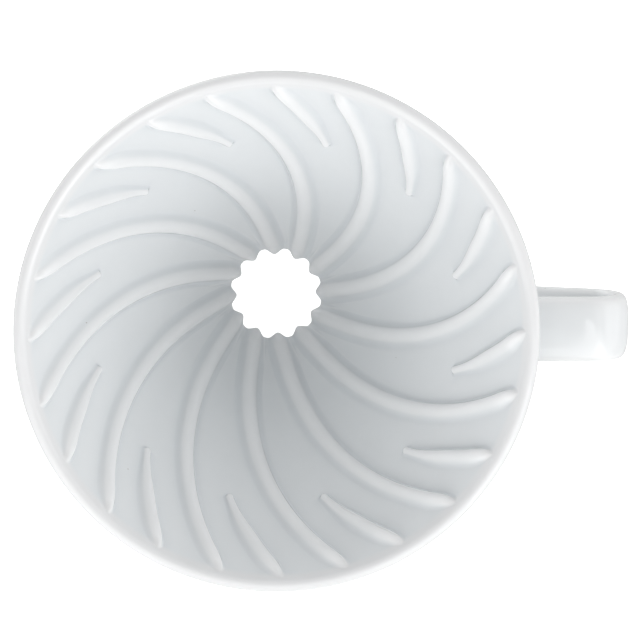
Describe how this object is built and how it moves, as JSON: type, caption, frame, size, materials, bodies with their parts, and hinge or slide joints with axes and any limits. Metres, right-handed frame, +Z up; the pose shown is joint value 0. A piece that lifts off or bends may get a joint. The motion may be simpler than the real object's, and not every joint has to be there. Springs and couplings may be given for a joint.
{
  "type": "pour over dripper",
  "caption": "White glazed ceramic pour-over coffee dripper: a 60 degree cone with swirled inner ribs and a scalloped outlet, on a saucer with a foot ring, with a flat strap handle.",
  "frame": {"origin": "on the cone's axis, at the plane of the foot ring's bottom face, in the middle of the mouth of the server that holds the part up in use", "axes": "+Z up along the cone's axis to the rim, +X from the axis to the handle"},
  "size_m": [0.1433, 0.12, 0.102],
  "materials": {
    "cone_glaze": "glossy white glaze, softly pooled beside the ribs",
    "saucer_glaze": "glossy white glaze",
    "foot_glaze": "glossy white glaze, with a bare matt land where it stood in the kiln",
    "handle_glaze": "glossy white glaze",
    "slip_glaze": "glazed over, smoothed fillets of slip"
  },
  "bodies": {
    "root": {"filter_cone": "cone_glaze", "base_saucer": "saucer_glaze", "foot_ring": "foot_glaze", "handle": "handle_glaze", "upper_handle_joint": "slip_glaze", "lower_handle_joint": "slip_glaze", "saucer_joint": "slip_glaze", "foot_ring_joint": "slip_glaze"}
  },
  "joints": []
}
